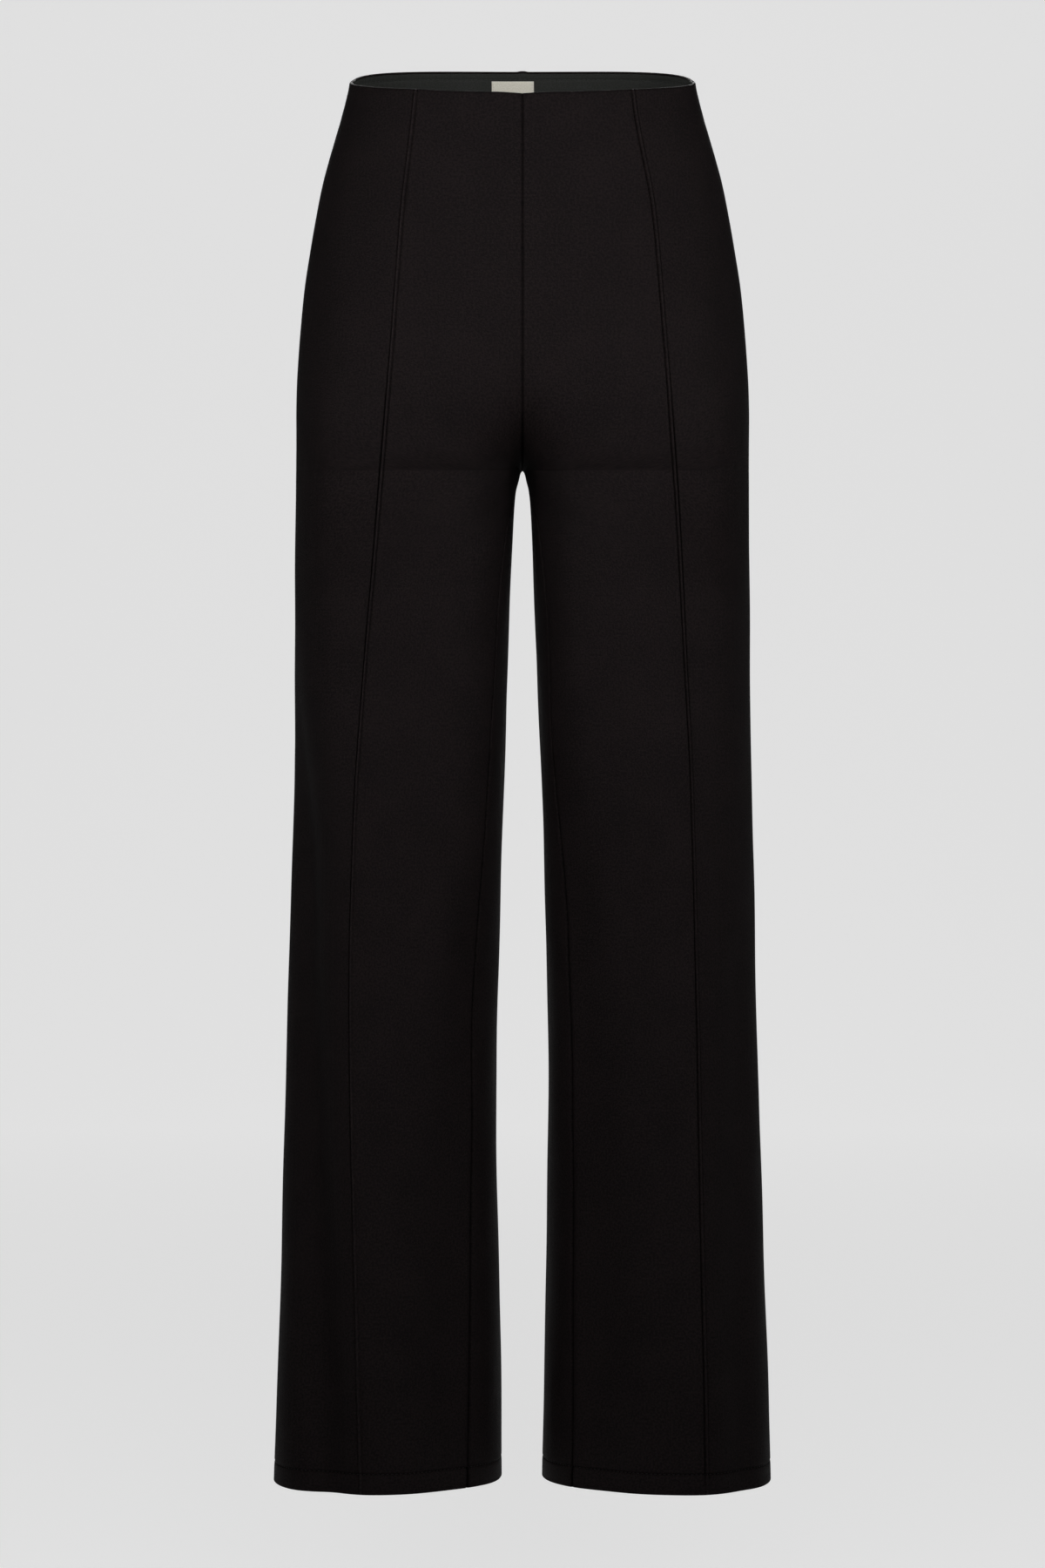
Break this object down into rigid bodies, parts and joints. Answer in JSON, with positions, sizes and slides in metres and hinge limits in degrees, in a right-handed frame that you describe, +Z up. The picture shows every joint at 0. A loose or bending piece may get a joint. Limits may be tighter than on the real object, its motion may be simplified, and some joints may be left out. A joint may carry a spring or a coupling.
{
  "type": "palazzo pants",
  "caption": "High-waist pull-on palazzo pants with long wide straight legs and a pintuck down each front, filled out as if worn and hanging from the waist.",
  "frame": {"origin": "middle of the waist ring, at the height of the side seams, where the wearer holds the garment up", "axes": "+Z up along the legs, -Y towards the front, +X towards the wearer's left"},
  "size_m": [0.3824, 0.2449, 1.0871],
  "materials": {
    "jersey": "black heavy jersey, matt, with a soft sheen",
    "facing": "dark grey-green facing cloth, matt",
    "label": "cream woven label, bare"
  },
  "bodies": {
    "root": {"front_left": "jersey", "front_right": "jersey", "back_left": "jersey", "back_right": "jersey", "facing_front": "facing", "facing_back": "facing", "label": "label"}
  },
  "joints": []
}
